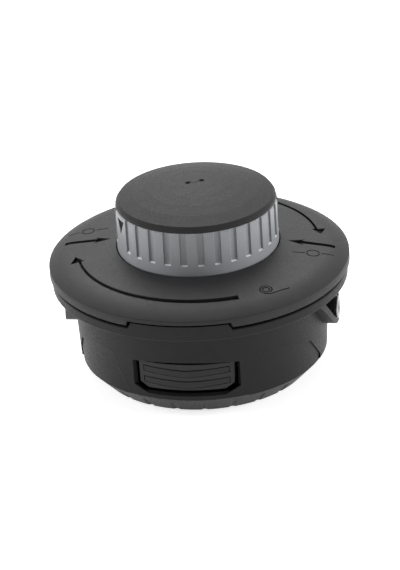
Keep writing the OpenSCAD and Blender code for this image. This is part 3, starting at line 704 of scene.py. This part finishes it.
def make_collar_marks():
    """Thin coat of black paint on the floor of the collar's two triangular marks."""
    material = plastic("mark_paint", MARK_AND_SHADE_COLOR, 0.6, edge_highlight=0, grain=0.002, specular=0.1)
    for number, angle in enumerate(MARK_ANGLES):
        turn = Matrix.Rotation(math.radians(angle), 4, "Z")
        corners = [(-MARK_HALF_W, MARK_TOP), (0, MARK_TIP), (MARK_HALF_W, MARK_TOP)]
        points = [turn @ (Vector((x, y, z)) * MM)
                  for x in (MARK_R - PAINT_T * SKIN_SINK, MARK_R + PAINT_T) for y, z in corners]
        mesh = bpy.data.meshes.new("collar_mark_%d" % (number + 1))
        mesh.from_pydata(points, [], [(0, 2, 1), (3, 4, 5), (0, 1, 4, 3), (1, 2, 5, 4), (2, 0, 3, 5)])
        mesh.validate()
        piece(mesh.name, mesh, material, "spool_and_knob")


def make_flute_feet():
    """Thin pale skins that paint a highlight on the sloped ledges where the flutes end, all but the two
    marked places.
    """
    sides = ((0, 2, 3, 1), (4, 5, 7, 6), (0, 1, 5, 4), (1, 3, 7, 5), (3, 2, 6, 7), (2, 0, 4, 6))
    points, faces = [], []
    for i in range(FLUTES):
        if i % (FLUTES // 2) == 0:
            continue
        turn = Matrix.Rotation(math.radians(FLUTE_FIRST + i * 360 / FLUTES), 4, "Z")
        base = len(points)
        for lift in (-LEDGE_T * SKIN_SINK, LEDGE_T):
            for r, z in ((LEDGE_OUT_R, LEDGE_OUT_Z), (LEDGE_IN_R, LEDGE_IN_Z)):
                points += [turn @ (Vector((r, y, z + lift)) * MM) for y in (-FLUTE_HALF_W, FLUTE_HALF_W)]
        faces += [tuple(base + k for k in side) for side in sides]
    mesh = bpy.data.meshes.new("flute_feet")
    mesh.from_pydata(points, [], faces)
    mesh.validate()
    # Near-white glossy skins: painted highlights on the ledges
    material = plastic("ledge_painted_highlight", LEDGE_HIGHLIGHT_COLOR, 0.25, grain=0.001)
    piece("flute_feet", mesh, material, "spool_and_knob")


def make_drain_shade():
    """Painted shade: dark rims that widen the drain holes, and a short dark curve between them."""
    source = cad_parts["wear_cap"].data
    height = top_finder(source)
    middle = (DRAIN_R + DRAIN_RIM_R) / 2
    half_w = (DRAIN_RIM_R - DRAIN_R) / 2
    shapes = []
    for side in (-1, 1):
        x, y = on_circle(side * DRAIN_SPREAD, DRAIN_ANGLE)
        for start in (0, 180):
            arc = [on_circle(middle, start + 180 * i / DRAIN_STEPS) for i in range(DRAIN_STEPS + 1)]
            shapes.append(strip(placed(arc, x, y, 0), [half_w] * len(arc)))
    reach = DRAIN_SPREAD - DRAIN_RIM_R
    shares = [i / CURVE_STEPS for i in range(-CURVE_STEPS, CURVE_STEPS + 1)]
    curve = [(reach * t, -CURVE_SAG * (1 - t * t)) for t in shares]
    shapes.append(strip(placed(curve, 0, 0, DRAIN_ANGLE), [CURVE_HALF_W] * len(curve)))
    points, faces = [], []
    for outline, tops in shapes:
        base = len(points)
        points += [(x * MM, y * MM, height(x * MM, y * MM) + DRAIN_LIFT * MM) for x, y in outline]
        faces += [tuple(base + i for i in face) for face in tops]
    mesh = bpy.data.meshes.new("drain_rims")
    mesh.from_pydata(points, [], faces)
    mesh.validate()
    # Near-black skins that paint the shade of wider holes and of a groove between them
    material = plastic("drain_shade", MARK_AND_SHADE_COLOR, 0.7, edge_highlight=0, grain=0.001, specular=0.05)
    piece("drain_rims", mesh, material, "spool_and_knob")


def make_seam_shade():
    """Dark skin on the flange's upper face that paints the seam's shade, where the seam under the cover's
    edge shows it.
    """
    height = top_finder(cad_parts["housing"].data)
    points, faces = [], []
    for i in range(SEAM_STEPS):
        for r in (SEAM_IN_R, SEAM_OUT_R):
            x, y = on_circle(r, 360 * i / SEAM_STEPS)
            points.append((x * MM, y * MM, height(x * MM, y * MM) + SEAM_LIFT * MM))
    for i in range(SEAM_STEPS):
        a, b = 2 * i, 2 * ((i + 1) % SEAM_STEPS)
        heights = [points[k][2] for k in (a, a + 1, b, b + 1)]
        if max(heights) - min(heights) < SEAM_JUMP * MM:
            faces.append((a, a + 1, b + 1, b))
    mesh = bpy.data.meshes.new("seam_shade")
    mesh.from_pydata(points, [], faces)
    mesh.validate()
    # Near-black matt skin: painted shade in the seam
    material = plastic("seam_painted_shade", SEAM_SHADE_COLOR, 0.9, edge_highlight=0, grain=0.001, specular=0)
    piece("seam_shade", mesh, material, "head")


def dress_nodes():
    finishes = {
        "housing": plastic("housing_grain", HOUSING_COLOR, 0.50, edge_highlight=0.06, specular=0.24),
        "cover": plastic("cover_grain", COVER_COLOR, 0.56, edge_highlight=0.14, grain=0.03, specular=0.28),
        "tab_front": plastic("tab_grain", TAB_COLOR, 0.48, specular=0.32),
        "spool": plastic("spool_grain", SPOOL_COLOR, 0.42, grain=0.004),
        # The collar's flute edges get a strong painted highlight
        "collar": plastic("collar_satin", COLLAR_COLOR, 0.36, edge_highlight=3.0, grain=0.003, specular=0.5,
                          mottle=0.03, rounding=0.5),
        "wear_cap": plastic("cap_grain", CAP_COLOR, 0.58, grain=0.03, specular=0.25),
        "eyelet_right": metal("eyelet_bright", EYELET_COLOR, 0.32, ring_scale=500, ring_axis="X"),
        "nut_clip": metal("zinc_plate", ZINC_COLOR, 0.34),
        "feed_spring": metal("spring_wire", SPRING_COLOR, 0.30),
    }
    finishes["tab_rear"] = finishes["tab_front"]
    finishes["eyelet_left"] = finishes["eyelet_right"]
    for name in ("drive_nut", "spring_seat", "thrust_washer", "knob_screws"):
        finishes[name] = finishes["nut_clip"]
    for name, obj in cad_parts.items():
        obj.data.materials.clear()
        obj.data.materials.append(finishes[name])
    return finishes


make_camera()
make_stage()
finishes = dress_nodes()
make_nut(finishes["drive_nut"])
make_engraved_cover(finishes["cover"])
make_collar_marks()
make_flute_feet()
make_drain_shade()
make_seam_shade()

bpy.context.scene.view_settings.view_transform = "Standard"
